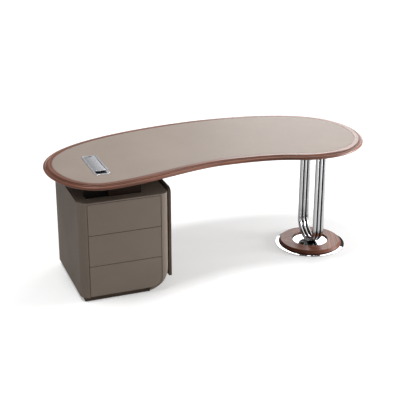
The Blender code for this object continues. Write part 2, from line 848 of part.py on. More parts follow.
clear_scene()
desk_finishes = {
    "walnut": make_finish("walnut", (0.235, 0.100, 0.062), 0.35),
    "leather": make_finish("taupe_leather", (0.330, 0.270, 0.225), 0.55),
    "lacquer": make_finish("taupe_lacquer", (0.150, 0.125, 0.100), 0.50),
    "brown": make_finish("brown_lacquer", (0.060, 0.042, 0.034), 0.50),
    "board": make_finish("dark_board", (0.080, 0.055, 0.042), 0.70),
    "dark": make_finish("dark_panel", (0.045, 0.040, 0.036), 0.60),
    "black": make_finish("black_base", (0.020, 0.018, 0.017), 0.55),
    "birch": make_finish("birch_ply", (0.560, 0.440, 0.300), 0.55),
    "steel": make_finish("zinc_steel", (0.600, 0.610, 0.620), 0.35, 1.0),
    "chrome": make_finish("chrome", (0.780, 0.780, 0.790), 0.05, 1.0),
    "aluminium": make_finish("brushed_aluminium", (0.720, 0.730, 0.750), 0.28, 1.0),
    "grey": make_finish("grey_plastic", (0.300, 0.310, 0.320), 0.45),
    "white": make_finish("white_plastic", (0.780, 0.790, 0.800), 0.35),
}
module_anchor = make_anchor("module", (module_x, module_y, 0))
pedestal_anchor = make_anchor("pedestal", (pedestal_x, pedestal_y, 0))
leg_anchor = make_anchor("leg", (leg_x, leg_y, 0))

build_top(desk_finishes, module_anchor)
build_bezel_and_tub(desk_finishes, module_anchor)
build_lid(desk_finishes, module_anchor)
build_socket_block(desk_finishes, module_anchor)
build_case(desk_finishes, pedestal_anchor)
build_plinth(desk_finishes, pedestal_anchor)
build_risers(desk_finishes, pedestal_anchor)
build_wing(desk_finishes, pedestal_anchor)
for drawer_number in range(1, drawer_count + 1):
    build_drawer(drawer_number, desk_finishes, pedestal_anchor)
build_leg(desk_finishes, leg_anchor)
build_base(desk_finishes, leg_anchor)
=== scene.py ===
import math

import bmesh
import bpy
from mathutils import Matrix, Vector
from mathutils.geometry import interpolate_bezier


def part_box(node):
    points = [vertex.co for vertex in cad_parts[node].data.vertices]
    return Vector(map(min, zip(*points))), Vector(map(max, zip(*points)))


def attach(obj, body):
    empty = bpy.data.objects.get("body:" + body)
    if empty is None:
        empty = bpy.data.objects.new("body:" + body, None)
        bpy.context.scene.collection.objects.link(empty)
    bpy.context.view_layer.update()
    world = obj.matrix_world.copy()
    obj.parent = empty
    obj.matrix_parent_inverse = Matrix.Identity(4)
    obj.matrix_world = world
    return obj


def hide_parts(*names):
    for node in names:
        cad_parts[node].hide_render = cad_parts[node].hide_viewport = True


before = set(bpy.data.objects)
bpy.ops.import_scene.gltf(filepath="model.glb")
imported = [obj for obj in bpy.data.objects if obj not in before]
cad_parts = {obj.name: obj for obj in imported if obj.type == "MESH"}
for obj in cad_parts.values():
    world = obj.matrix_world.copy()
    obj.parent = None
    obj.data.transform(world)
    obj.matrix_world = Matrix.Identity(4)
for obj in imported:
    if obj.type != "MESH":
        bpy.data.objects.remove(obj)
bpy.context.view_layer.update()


# Felt pad
# A sheet of dense black felt, cut round and glued under the base, so that the metal doesn't mark the floor.
# Its short fibres lie in every direction.

class Wire:
    """One output of a shader node. Arithmetic on it adds the Math nodes that work it out."""

    def __init__(self, finish, socket):
        self.finish = finish
        self.socket = socket

    def maths(self, operation, *values):
        return self.finish.node("ShaderNodeMath", {"operation": operation}, dict(enumerate(values)))

    def __add__(self, other):
        return self.maths("ADD", self, other)

    def __radd__(self, other):
        return self.maths("ADD", other, self)

    def __sub__(self, other):
        return self.maths("SUBTRACT", self, other)

    def __rsub__(self, other):
        return self.maths("SUBTRACT", other, self)

    def __mul__(self, other):
        return self.maths("MULTIPLY", self, other)

    def __rmul__(self, other):
        return self.maths("MULTIPLY", other, self)

    def __abs__(self):
        return self.maths("ABSOLUTE", self)

    def least(self, other):
        return self.maths("MINIMUM", self, other)

    def sine(self):
        return self.maths("SINE", self)

    def between(self, start, end):
        """0 below the start and 1 above the end, and smooth between them."""
        settings = {"interpolation_type": "SMOOTHSTEP"}
        values = {"Value": self, "From Min": start, "From Max": end}
        return self.finish.node("ShaderNodeMapRange", settings, values)


class Finish:
    """A surface finish: a material, its main shader, and one way to add any other node."""

    def __init__(self, name, constants):
        self.material = bpy.data.materials.new(name)
        self.material.use_nodes = True
        self.tree = self.material.node_tree
        self.shader = self.tree.nodes["Principled BSDF"]
        self.shade(constants)

    def fill(self, sockets, values):
        for key, value in values.items():
            if isinstance(value, Wire):
                self.tree.links.new(value.socket, sockets[key])
            else:
                sockets[key].default_value = value

    def node(self, kind, settings, values, output=0):
        made = self.tree.nodes.new(kind)
        for key, value in settings.items():
            setattr(made, key, value)
        self.fill(made.inputs, values)
        return Wire(self, made.outputs[output])

    def shade(self, values):
        self.fill(self.shader.inputs, values)

    def mix(self, share, first, second):
        """Two colours mixed by a share of the second."""
        return self.node("ShaderNodeMix", {"data_type": "RGBA"}, {0: share, 6: first, 7: second}, 2)

    def stretch(self, spot, scales):
        """A point or a direction, stretched by a scale along each axis."""
        return self.node("ShaderNodeVectorMath", {"operation": "MULTIPLY"}, {0: spot, 1: scales})

    def place(self, scales=(1, 1, 1)):
        """The point of the piece in metres, stretched by a scale along each axis."""
        return self.stretch(self.node("ShaderNodeTexCoord", {}, {}, "Object"), scales)

    def axis(self, spot, letter):
        """One coordinate of a point or a direction."""
        return self.node("ShaderNodeSeparateXYZ", {}, {"Vector": spot}, letter)

    def facing(self, letter):
        """How far the surface looks along an axis of the piece."""
        return self.axis(self.node("ShaderNodeTexCoord", {}, {}, "Normal"), letter)

    def mark(self, name, output="Fac"):
        """A value that the mesh carries from point to point."""
        return self.node("ShaderNodeAttribute", {"attribute_name": name}, {}, output)

    def ray(self, kind):
        """1 for what rays of one kind meet, 0 for the others."""
        return self.node("ShaderNodeLightPath", {}, {}, f"Is {kind} Ray")

    def noise(self, spot, scale, detail=3.0, distortion=0.0):
        """A random value from 0 to 1 that changes from place to place."""
        values = {"Vector": spot, "Scale": scale, "Detail": detail, "Distortion": distortion}
        return self.node("ShaderNodeTexNoise", {}, values)

    def bump(self, height, depth):
        """Relief: a height, and how many metres deep 1 of it is."""
        self.shade({"Normal": self.node("ShaderNodeBump", {}, {"Height": height, "Distance": depth})})


felt_dark = (0.012, 0.011, 0.011, 1)
felt_light = (0.040, 0.037, 0.035, 1)
felt_fibre_scale = 900.0
felt_matting_scale = 60.0
felt_contrast = 2.0
felt_fibre_depth = 0.0006

felt = Finish("black_felt", {"Roughness": 0.95, "Sheen Weight": 0.3})
fibres = felt.noise(felt.place(), felt_fibre_scale, detail=6.0, distortion=1.5)
matting = felt.noise(felt.place(), felt_matting_scale)
felt.shade({"Base Color": felt.mix(fibres * matting * felt_contrast, felt_dark, felt_light)})
felt.bump(fibres, felt_fibre_depth)
pad_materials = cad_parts["base_pad"].data.materials
pad_materials.clear()
pad_materials.append(felt.material)


# Base disc
# A steel disc, turned on a lathe with a raised middle, polished and plated with chrome. The tubes stand on
# its middle, and its thin edge shows all round the wooden ring.

def add_piece(name, shape, finish, nodes, smooth_angle, body="desk"):
    """Make a shape a piece that moves with a body and stands for solids. Its flat faces stay flat."""
    bmesh.ops.recalc_face_normals(shape, faces=shape.faces)
    mesh = bpy.data.meshes.new(name)
    shape.to_mesh(mesh)
    shape.free()
    mesh.materials.append(finish.material)
    piece = bpy.data.objects.new(name, mesh)
    bpy.context.scene.collection.objects.link(piece)
    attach(piece, body)
    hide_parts(*nodes)
    piece.data.shade_smooth()
    piece.data.set_sharp_from_angle(angle=math.radians(smooth_angle))
    weighting = piece.modifiers.new("flat_faces", "WEIGHTED_NORMAL")
    weighting.keep_sharp = True


def arc(centre, radius, start, stop, steps):
    """Points on an arc, from the start angle to the stop angle in degrees, both included."""
    points = []
    for step in range(steps + 1):
        angle = math.radians(start + (stop - start) * step / steps)
        points.append(Vector((centre[0] + radius * math.cos(angle), centre[1] + radius * math.sin(angle))))
    return points


def turn(profile, centre, steps):
    """Spin a closed profile of (radius, height) points about an upright axis."""
    shape = bmesh.new()
    rings = []
    for radius, height in profile:
        count = steps if radius else 1
        ring = []
        for step in range(count):
            angle = math.tau * step / steps
            x = centre[0] + radius * math.cos(angle)
            y = centre[1] + radius * math.sin(angle)
            ring.append(shape.verts.new((x, y, height)))
        rings.append(ring)
    for ring, following in zip(rings, rings[1:] + rings[:1]):
        if len(ring) == 1 and len(following) == 1:
            continue
        for step in range(steps):
            after = (step + 1) % steps
            corners = [ring[step % len(ring)], ring[after % len(ring)]]
            corners += [following[after % len(following)], following[step % len(following)]]
            shape.faces.new(list(dict.fromkeys(corners)))
    return shape


turn_steps = 160
disc_low, disc_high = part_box("base_disc")
leg_centre = (disc_low + disc_high) / 2
disc_radius = (disc_high.x - disc_low.x) / 2
disc_thickness = 0.006
disc_rim_thickness = 0.003
disc_edge_round = 0.001
disc_round_steps = 14
disc_smooth_angle = 8.0
boss_radius = 0.1177
boss_round = 0.004
ring_low, ring_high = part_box("base_ring")
ring_outer_radius = (ring_high.x - ring_low.x) / 2

flange_high = disc_low.z + disc_thickness
slope_share = (disc_thickness - disc_rim_thickness) / (disc_radius - ring_outer_radius)
slope_angle = math.degrees(math.atan(slope_share))
edge_centre = (disc_radius - disc_edge_round, disc_low.z + disc_rim_thickness - disc_edge_round)
boss_centre = (boss_radius - boss_round, disc_high.z - boss_round)
disc_profile = [(0, disc_low.z), (disc_radius, disc_low.z)]
disc_profile += arc(edge_centre, disc_edge_round, 0, 90.0 - slope_angle, disc_round_steps)
disc_profile += [(ring_outer_radius, flange_high), (boss_radius, flange_high)]
disc_profile += arc(boss_centre, boss_round, 0, 90.0, disc_round_steps)
disc_profile += [(0, disc_high.z)]

# Where two tubes touch, their facing sides are painted near black and made rougher: painted shade for the
# dark reflections between them.
chrome_light = (0.66, 0.66, 0.67, 1)
chrome_dark = (0.58, 0.58, 0.595, 1)
contact_shade_colour = (0.035, 0.033, 0.032, 1)
smudge_scale = 14.0
hairline_scale = 700.0
hairline_stretch = (1.0, 1.0, 0.1)
hairline_depth = 0.000004
contact_shade_range = (0.45, 0.75)
chrome_roughness = 0.03
smudge_roughness = 0.03
hairline_roughness = 0.02
contact_shade_roughness = 0.3

chrome = Finish("polished_chrome", {"Metallic": 1.0})
smudges = chrome.noise(chrome.place(), smudge_scale, detail=4.0)
hairlines = chrome.noise(chrome.place(hairline_stretch), hairline_scale, detail=2.0)
painted_contact_shade = chrome.mark("painted_contact_shade").between(*contact_shade_range)
polish = chrome_roughness + smudges * smudge_roughness + hairlines * hairline_roughness
chrome.shade({
    "Base Color": chrome.mix(painted_contact_shade, chrome.mix(smudges, chrome_light, chrome_dark), contact_shade_colour),
    "Roughness": polish + painted_contact_shade * contact_shade_roughness,
})
chrome.bump(hairlines, hairline_depth)

disc_shape = turn(disc_profile, leg_centre, turn_steps)
add_piece("polished_disc", disc_shape, chrome, ["base_disc"], disc_smooth_angle)


# Base ring
# A walnut ring with a wide bevel, glued up from three boards that are mitred together, turned on a lathe and
# lacquered satin. It drops over the raised middle of the disc, and its foot is set back in a shadow groove.

walnut_tint = (1.0, 0.93, 0.90, 1)
pore_colour = (0.020, 0.009, 0.006, 1)
sway_scales = (1.6, 9.0, 9.0)
figure_scales = (2.5, 60.0, 60.0)
fibre_scales = (14.0, 900.0, 900.0)
pore_scales = (60.0, 1500.0, 1500.0)
pore_range = (0.62, 0.72)
year_scale = 420.0
year_sway = 22.0
figure_share = 0.70
year_share = 0.16
fibre_share = 0.25
walnut_tone_shift = 0.07
walnut_tone_range = (0.22, 0.78)
painted_side_shade_range = (0.55, 0.95)
joint_range = (0.0002, 0.0006)
pore_tone = 0.55
joint_tone = 0.35
walnut_roughness = 0.34
pore_roughness = 0.20
fibre_roughness = 0.10
fibre_relief = 0.25
pore_depth = 0.00012


def walnut_finish(name, dark, light, gloss, painted_side_shade):
    """Lacquered walnut. Each corner of the mesh says where it lies in its board: along, across and deep."""
    wood = Finish(name, {
        "Coat Weight": 0.06,
        "Coat Roughness": 0.25,
        "Specular IOR Level": gloss,
        "Specular Tint": walnut_tint,
    })
    board = wood.mark("grain", "Vector")
    sway = wood.noise(wood.stretch(board, sway_scales), 1.0)
    years = (wood.axis(board, "Y") * year_scale + sway * year_sway).sine() * (1 / 2) + 1 / 2
    figure = wood.noise(wood.stretch(board, figure_scales), 1.0, detail=5.0, distortion=0.4)
    fibre = wood.noise(wood.stretch(board, fibre_scales), 1.0)
    pores = wood.noise(wood.stretch(board, pore_scales), 1.0, detail=1.0).between(*pore_range)
    tone = figure * figure_share + years * year_share + fibre * fibre_share
    tone = (tone - walnut_tone_shift).between(*walnut_tone_range)
    joint = 1 - wood.mark("joint").between(*joint_range)
    # Steep faces are mixed towards the dark colour: painted shade on the sides of the ring and the rim.
    painted_steep_shade = 1 - wood.facing("Z").between(*painted_side_shade_range)
    colour = wood.mix(tone, dark, light)
    colour = wood.mix(painted_steep_shade * painted_side_shade, colour, dark)
    colour = wood.mix(pores * pore_tone + joint * joint_tone, colour, pore_colour)
    wood.shade({
        "Base Color": colour,
        "Roughness": walnut_roughness + pores * pore_roughness + fibre * fibre_roughness,
    })
    wood.bump(fibre * fibre_relief - pores - joint, pore_depth)
    return wood


ring_board_count = 3
first_joint_angle = -80.0
board_shift_along = 0.731
board_shift_across = 0.173
ring_top_radius = 0.1985
ring_inner_radius = 0.118
ring_edge_height = 0.0055
ring_edge_round = 0.002
ring_bevel_angle = 30.0
ring_bevel_steps = 5
ring_inner_steps = 6
ring_foot_inset = 0.005
ring_foot_height = 0.0035
ring_smooth_angle = 25.0
ring_walnut_dark = (0.110, 0.037, 0.021, 1)
ring_walnut_light = (0.370, 0.150, 0.094, 1)
ring_gloss = 0.15
ring_painted_side_shade = 0.8

ring_round_height = ring_high.z - ring_edge_round
ring_foot_radius = ring_outer_radius - ring_foot_inset
outer_round = (ring_top_radius - ring_edge_round, ring_round_height)
inner_round = (ring_inner_radius + ring_edge_round, ring_round_height)
ring_profile = [
    (ring_inner_radius, ring_low.z),
    (ring_foot_radius, ring_low.z),
    (ring_foot_radius, ring_low.z + ring_foot_height),
    (ring_outer_radius, ring_low.z + ring_foot_height),
    (ring_outer_radius, ring_low.z + ring_edge_height),
]
ring_profile += arc(outer_round, ring_edge_round, ring_bevel_angle, 90.0, ring_bevel_steps)
ring_profile += arc(inner_round, ring_edge_round, 90.0, 180.0, ring_inner_steps)

ring_shape = turn(ring_profile, leg_centre, turn_steps)
grain_layer = ring_shape.loops.layers.float_vector.new("grain")
joint_layer = ring_shape.loops.layers.float.new("joint")
board_angle = math.tau / ring_board_count
first_joint = math.radians(first_joint_angle)
for face in ring_shape.faces:
    middle = face.calc_center_median() - leg_centre
    board = math.floor((math.atan2(middle.y, middle.x) - first_joint) % math.tau / board_angle)
    middle_angle = first_joint + (board + 1 / 2) * board_angle
    outwards = Vector((math.cos(middle_angle), math.sin(middle_angle)))
    sideways = Vector((-outwards.y, outwards.x))
    for loop in face.loops:
        spot = (loop.vert.co - leg_centre).to_2d()
        along = spot.dot(sideways)
        across = spot.dot(outwards)
        shifted = (along + board_shift_along * board, across + board_shift_across * board, loop.vert.co.z)
        loop[grain_layer] = shifted
        loop[joint_layer] = across * math.tan(board_angle / 2) - abs(along)

ring_wood = walnut_finish("ring_walnut", ring_walnut_dark, ring_walnut_light, ring_gloss, ring_painted_side_shade)
add_piece("walnut_ring", ring_shape, ring_wood, ["base_ring"], ring_smooth_angle)


# Tubes
# Three steel tubes of 25 mm, each bent into one long U, polished and chrome plated. Their bends rest on the
# base disc and their ends are welded to the plate under the top.

tube_radius = 0.0125
tube_sides = 48
tube_bend_steps = 64
metal_smooth_angle = 35.0


def bridge(shape, ring, following):
    """A closed band of faces from one ring of corners to the next."""
    faces = []
    for index in range(len(ring)):
        after = (index + 1) % len(ring)
        faces.append(shape.faces.new((ring[index], ring[after], following[after], following[index])))
    return faces


def bend_tube(low, high, neighbours):
    """A tube along a U in an upright plane, with its sides marked where they face a neighbour, for the
    painted shade there.
    """
    middle = (low + high) / 2
    bend = (high.y - low.y) / 2 - tube_radius
    centre = (middle.y, low.z + tube_radius + bend)
    path = [Vector((middle.y - bend, high.z))]
    path += arc(centre, bend, 180.0, 360.0, tube_bend_steps)
    path += [Vector((middle.y + bend, high.z))]
    shape = bmesh.new()
    contact_shade_layer = shape.verts.layers.float.new("painted_contact_shade")
    rings = []
    for index, point in enumerate(path):
        before = path[max(index - 1, 0)]
        after = path[min(index + 1, len(path) - 1)]
        along = (after - before).normalized()
        if index in (0, 1):
            along = Vector((0, -1))
        if index in (len(path) - 2, len(path) - 1):
            along = Vector((0, 1))
        inwards = Vector((-along.y, along.x))
        ring = []
        for side in range(tube_sides):
            angle = math.tau * side / tube_sides
            spot = point + inwards * tube_radius * math.sin(angle)
            vert = shape.verts.new((middle.x + tube_radius * math.cos(angle), spot.x, spot.y))
            vert[contact_shade_layer] = max(neighbour * math.cos(angle) for neighbour in neighbours)
            ring.append(vert)
        rings.append(ring)
    for ring, following in zip(rings, rings[1:]):
        bridge(shape, ring, following)
    shape.faces.new(rings[0])
    shape.faces.new(rings[-1])
    return shape


# A neighbour is 1 on the tube's right and -1 on its left.
for number, neighbours in ((1, (1,)), (2, (1, -1)), (3, (-1,))):
    node = f"leg_tube_{number}"
    tube_shape = bend_tube(*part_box(node), neighbours)
    add_piece(f"chrome_tube_{number}", tube_shape, chrome, [node], metal_smooth_angle)


# Head plate
# A thick steel plate, powder coated black, that joins the tubes to the underside of the top with six pan
# head screws, which are zinc plated. It is hidden from above.

powder_dark = (0.014, 0.014, 0.015, 1)
powder_light = (0.026, 0.026, 0.027, 1)
powder_pebble_scale = 1400.0
powder_cloud_scale = 9.0
powder_roughness = 0.42
powder_pebble_roughness = 0.2
powder_pebble_depth = 0.00008

powder = Finish("black_powder_coat", {})
powder_pebbles = powder.noise(powder.place(), powder_pebble_scale, detail=2.0)
powder_clouds = powder.noise(powder.place(), powder_cloud_scale)
powder.shade({
    "Base Color": powder.mix(powder_clouds, powder_dark, powder_light),
    "Roughness": powder_roughness + powder_pebbles * powder_pebble_roughness,
})
powder.bump(powder_pebbles, powder_pebble_depth)

weld_distance = 0.00002
flat_angle = 0.5
sharp_angle = 38.0
round_profile = 0.5
ease_steps = 3
eased_smooth_angle = 40.0


def eased_copy(node, name, finish, ease, body="desk", steps=ease_steps):
    """A copy of a solid whose sharp edges are eased, as sandpaper leaves them."""
    shape = bmesh.new()
    shape.from_mesh(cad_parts[node].data)
    for layer in list(shape.loops.layers.uv):
        shape.loops.layers.uv.remove(layer)
    bmesh.ops.remove_doubles(shape, verts=shape.verts, dist=weld_distance)
    limit = math.radians(flat_angle)
    bmesh.ops.dissolve_limit(shape, angle_limit=limit, verts=shape.verts, edges=shape.edges)
    edge_layer = shape.loops.layers.float.new("edge")
    if ease:
        corners = [edge for edge in shape.edges if edge.is_manifold]
        corners = [edge for edge in corners if edge.calc_face_angle() > math.radians(sharp_angle)]
        rounding = {"offset": ease, "segments": steps, "profile": round_profile}
        rounded = bmesh.ops.bevel(shape, geom=corners, affect="EDGES", clamp_overlap=True, **rounding)
        for face in rounded["faces"]:
            for loop in face.loops:
                loop[edge_layer] = 1.0
    add_piece(name, shape, finish, [node], eased_smooth_angle, body)


edge_ease = 0.0008
eased_copy("leg_head_plate", "head_plate", powder, edge_ease)

screw_head_radius = 0.0045
screw_head_height = 0.0024
screw_head_round = 0.0008
screw_socket_radius = 0.0021
screw_socket_depth = 0.0015
screw_round_steps = 6
screw_sides = 24

socket_floor = screw_head_height - screw_socket_depth
screw_round_centre = (screw_head_radius - screw_head_round, screw_head_height - screw_head_round)
screw_profile = [(0, 0), (screw_head_radius, 0)]
screw_profile += arc(screw_round_centre, screw_head_round, 0, 90.0, screw_round_steps)
screw_profile += [(screw_socket_radius, screw_head_height), (screw_socket_radius, socket_floor)]
screw_profile += [(0, socket_floor)]


def add_screws(name, spots, body="desk"):
    """Pan heads with a round socket. Each spot is a seat and the direction that the head looks."""
    joined = bmesh.new()
    for seat, direction in spots:
        head = turn(screw_profile, (0, 0), screw_sides)
        turned_to = Vector((0, 0, 1)).rotation_difference(Vector(direction)).to_matrix().to_4x4()
        turned_to.translation = Vector(seat)
        bmesh.ops.transform(head, matrix=turned_to, verts=head.verts)
        mesh = bpy.data.meshes.new("head")
        head.to_mesh(mesh)
        head.free()
        joined.from_mesh(mesh)
        bpy.data.meshes.remove(mesh)
    add_piece(name, joined, zinc, [], metal_smooth_angle, body)


zinc_light = (0.66, 0.67, 0.68, 1)
zinc_dark = (0.46, 0.47, 0.485, 1)
spangle_scale = 110.0
roll_stretch = (60.0, 1.0, 60.0)
roll_scale = 30.0
spangle_share = 0.6
roll_share = 0.4
zinc_roughness = 0.26
roll_roughness = 0.16
spangle_roughness = 0.06
roll_depth = 0.00002

zinc = Finish("zinc_plate", {"Metallic": 1.0})
spangle_values = {"Vector": zinc.place(), "Scale": spangle_scale}
spangle = zinc.node("ShaderNodeTexVoronoi", {"feature": "F1"}, spangle_values, "Distance")
roll_marks = zinc.noise(zinc.place(roll_stretch), roll_scale)
zinc_tone = spangle * spangle_share + roll_marks * roll_share
zinc.shade({
    "Base Color": zinc.mix(zinc_tone, zinc_light, zinc_dark),
    "Roughness": zinc_roughness + roll_marks * roll_roughness + spangle * spangle_roughness,
})
zinc.bump(roll_marks, roll_depth)

plate_low, plate_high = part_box("leg_head_plate")
plate_middle = (plate_low + plate_high) / 2
plate_screw_inset = 0.012
plate_spots = []
for x in (plate_low.x + plate_screw_inset, plate_high.x - plate_screw_inset):
    for y in (plate_low.y + plate_screw_inset, plate_middle.y, plate_high.y - plate_screw_inset):
        plate_spots.append(((x, y, plate_low.z), (0, 0, -1)))
add_screws("head_plate_screws", plate_spots)


# Plinth
# A low frame of boards in matte dark brown lacquer, set back under the pedestal, so that it seems to float
# a little above the floor.

lacquer_gloss = 0.08
lacquer_cloud_scale = 3.0
lacquer_cloud_range = (0.25, 0.75)
lacquer_wave_scale = 420.0
lacquer_dust_scale = 2600.0
lacquer_rubbed = (0.45, 0.40, 0.36, 1)
lacquer_wave_roughness = 0.08
lacquer_cloud_roughness = 0.06
lacquer_dust_relief = 0.4


def lacquer(name, dark, light, roughness, wave_depth, rubbed_share):
    """Sprayed lacquer: faint clouds, the fine waves of the spray gun, and edges that rub a little lighter."""
    coat = Finish(name, {"Specular IOR Level": lacquer_gloss})
    clouds = coat.noise(coat.place(), lacquer_cloud_scale, detail=4.0)
    waves = coat.noise(coat.place(), lacquer_wave_scale, detail=2.0)
    dust = coat.noise(coat.place(), lacquer_dust_scale, detail=1.0)
    colour = coat.mix(clouds.between(*lacquer_cloud_range), dark, light)
    coat.shade({
        "Base Color": coat.mix(coat.mark("edge") * rubbed_share, colour, lacquer_rubbed),
        "Roughness": roughness + waves * lacquer_wave_roughness + clouds * lacquer_cloud_roughness,
    })
    coat.bump(waves + dust * lacquer_dust_relief, wave_depth)
    return coat


plinth_dark = (0.055, 0.038, 0.028, 1)
plinth_light = (0.080, 0.058, 0.044, 1)
matte_coat = {"roughness": 0.55, "wave_depth": 0.00006, "rubbed_share": 0.04}
plinth_ease = 0.0006

plinth_brown = lacquer("plinth_lacquer", plinth_dark, plinth_light, **matte_coat)
eased_copy("plinth", "recessed_plinth", plinth_brown, plinth_ease)


# Pedestal case
# Two lacquered sides, bent round their front corners, with a top, a bottom and a back of board. The right
# side also rounds in at its foot. The panels meet in hairline joints, and dark melamine covers the inside.

taupe_dark = (0.192, 0.156, 0.127, 1)
taupe_light = (0.214, 0.174, 0.143, 1)
taupe_coat = {"roughness": 0.50, "wave_depth": 0.00005, "rubbed_share": 0.08}

taupe = lacquer("taupe_satin_lacquer", taupe_dark, taupe_light, **taupe_coat)
for node, name in (
    ("case_left_side", "left_side"),
    ("case_right_side", "right_side"),
    ("case_top", "case_lid"),
    ("case_back", "back_panel"),
):
    eased_copy(node, name, taupe, edge_ease)

melamine_dark = (0.036, 0.032, 0.029, 1)
melamine_light = (0.050, 0.045, 0.041, 1)
melamine_coat = {"roughness": 0.50, "wave_depth": 0.00010, "rubbed_share": 0.06}
fine_ease = 0.0005

melamine = lacquer("dark_melamine", melamine_dark, melamine_light, **melamine_coat)
for node, name in (
    ("case_bottom", "bottom_board"),
    ("inner_panel_left", "left_runner_board"),
    ("inner_panel_right", "right_runner_board"),
):
    eased_copy(node, name, melamine, fine_ease)


# Drawers
# Each drawer is a box of birch plywood behind a lacquered front, which is screwed on from inside the box.
# The plies show as thin lines along the top edge of the box.

birch_light = (0.640, 0.500, 0.345, 1)
birch_dark = (0.490, 0.365, 0.235, 1)
ply_line_colour = (0.300, 0.200, 0.120, 1)
ply_thickness = 0.0014
ply_line_range = (-0.2, 0.2)
ply_line_tone = 0.75
ply_line_relief = 0.5
box_wall = 0.012
box_wall_fade = 0.0002
box_top_range = (0.6, 0.9)
birch_across_scales = (9.0, 160.0, 160.0)
birch_along_scales = (160.0, 9.0, 160.0)
birch_fleck_scale = 600.0
birch_grain_share = 0.8
birch_fleck_share = 0.3
birch_tone_shift = 0.05
birch_tone_range = (0.25, 0.8)
birch_roughness = 0.44
birch_grain_roughness = 0.18
birch_grain_depth = 0.00015


def birch_plywood(name, box_node):
    """Birch plywood with its plies in the top edges of a box."""
    wood = Finish(name, {"Coat Weight": 0.15, "Coat Roughness": 0.35})
    low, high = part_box(box_node)
    spot = wood.place()
    from_side = (high.x - low.x) / 2 - abs(wood.axis(spot, "X") - (low.x + high.x) / 2)
    from_end = (high.y - low.y) / 2 - abs(wood.axis(spot, "Y") - (low.y + high.y) / 2)
    depth = from_side.least(from_end)
    plies = (depth * (math.pi / ply_thickness)).sine().between(*ply_line_range)
    in_wall = 1 - depth.between(box_wall, box_wall + box_wall_fade)
    plies = plies * abs(wood.facing("Z")).between(*box_top_range) * in_wall
    across = wood.noise(wood.place(birch_across_scales), 1.0, detail=4.0, distortion=0.3)
    lengthways = wood.noise(wood.place(birch_along_scales), 1.0, detail=4.0, distortion=0.3)
    grain = across + (lengthways - across) * abs(wood.facing("X"))
    flecks = wood.noise(wood.place(), birch_fleck_scale, detail=2.0)
    tone = grain * birch_grain_share + flecks * birch_fleck_share - birch_tone_shift
    colour = wood.mix(tone.between(*birch_tone_range), birch_light, birch_dark)
    wood.shade({
        "Base Color": wood.mix(plies * ply_line_tone, colour, ply_line_colour),
        "Roughness": birch_roughness + grain * birch_grain_roughness,
    })
    wood.bump(grain + plies * ply_line_relief, birch_grain_depth)
    return wood


box_ease = 0.0012
bottom_ease = 0.0004
front_screw_aside = 0.060
front_screw_height = 0.030

birch = birch_plywood("birch_plywood", "drawer_box_1")
for number in (1, 2, 3):
    body = f"drawer_{number}"
    eased_copy(f"drawer_front_{number}", f"front_{number}", taupe, 0, body)
    eased_copy(f"drawer_box_{number}", f"ply_box_{number}", birch, box_ease, body)
    eased_copy(f"drawer_bottom_{number}", f"ply_bottom_{number}", birch, bottom_ease, body)
    low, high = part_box(f"drawer_box_{number}")
    front_spots = []
    for x in (low.x + front_screw_aside, high.x - front_screw_aside):
        for z in (low.z + front_screw_height, high.z - front_screw_height):
            front_spots.append(((x, low.y + box_wall, z), (0, 1, 0)))
    add_screws(f"front_screws_{number}", front_spots, body)


# Runners
# Telescopic runners of pressed, zinc-plated steel carry each drawer: one member screwed to the case, one on
# the drawer, and one between them that follows at half the travel.

runner_ease = 0.0002
runner_ease_steps = 1

for number in (1, 2, 3):
    member_bodies = {"case": "desk", "middle": f"runner_pair_{number}", "drawer": f"drawer_{number}"}
    for hand in ("left", "right"):
        for member, body in member_bodies.items():
            node = f"runner_{member}_{hand}_{number}"
            name = f"{member}_rail_{hand}_{number}"
            eased_copy(node, name, zinc, runner_ease, body, runner_ease_steps)


# Side wing
# A dark lacquered panel beside the knees, held off the pedestal by two upright battens that are screwed
# between them.

brown_dark = (0.076, 0.054, 0.040, 1)
brown_light = (0.104, 0.077, 0.058, 1)
brown_coat = {"roughness": 0.50, "wave_depth": 0.00005, "rubbed_share": 0.05}

brown = lacquer("brown_satin_lacquer", brown_dark, brown_light, **brown_coat)
eased_copy("wing_panel", "side_wing", brown, 0)

black_dark = (0.020, 0.014, 0.010, 1)
black_light = (0.030, 0.022, 0.016, 1)

black_lacquer = lacquer("black_lacquer", black_dark, black_light, **matte_coat)
for end in ("front", "rear"):
    eased_copy(f"wing_batten_{end}", f"batten_{end}", black_lacquer, edge_ease)


# Risers
# Three blocks of board hold the top clear of the pedestal: a brown block and a black spacer near the front,
# and a black rail near the back. The block and the spacer are lacquered dead matte.

# The block's brown is far darker than the wing's, and the spacer's black darker than the battens': painted
# shade under the top.
block_painted_shade_dark = (0.018, 0.010, 0.006, 1)
block_painted_shade_light = (0.026, 0.015, 0.010, 1)
spacer_painted_shade_dark = (0.005, 0.004, 0.003, 1)
spacer_painted_shade_light = (0.009, 0.007, 0.006, 1)
block_coat = {"roughness": 0.60, "wave_depth": 0.00005, "rubbed_share": 0.04}
spacer_coat = {"roughness": 0.60, "wave_depth": 0.00005, "rubbed_share": 0.03}

block_brown = lacquer("brown_riser_lacquer", block_painted_shade_dark, block_painted_shade_light, **block_coat)
spacer_black = lacquer("black_spacer_lacquer", spacer_painted_shade_dark, spacer_painted_shade_light, **spacer_coat)
eased_copy("riser_block", "brown_riser", block_brown, edge_ease)
eased_copy("riser_spacer", "black_spacer", spacer_black, edge_ease)
eased_copy("riser_rear", "rear_rail", black_lacquer, edge_ease)


# Top board
# A thick board, stained brown, that carries the leather and the rim. Only its edge shows, deep in the seam
# between them, and its underside from below.

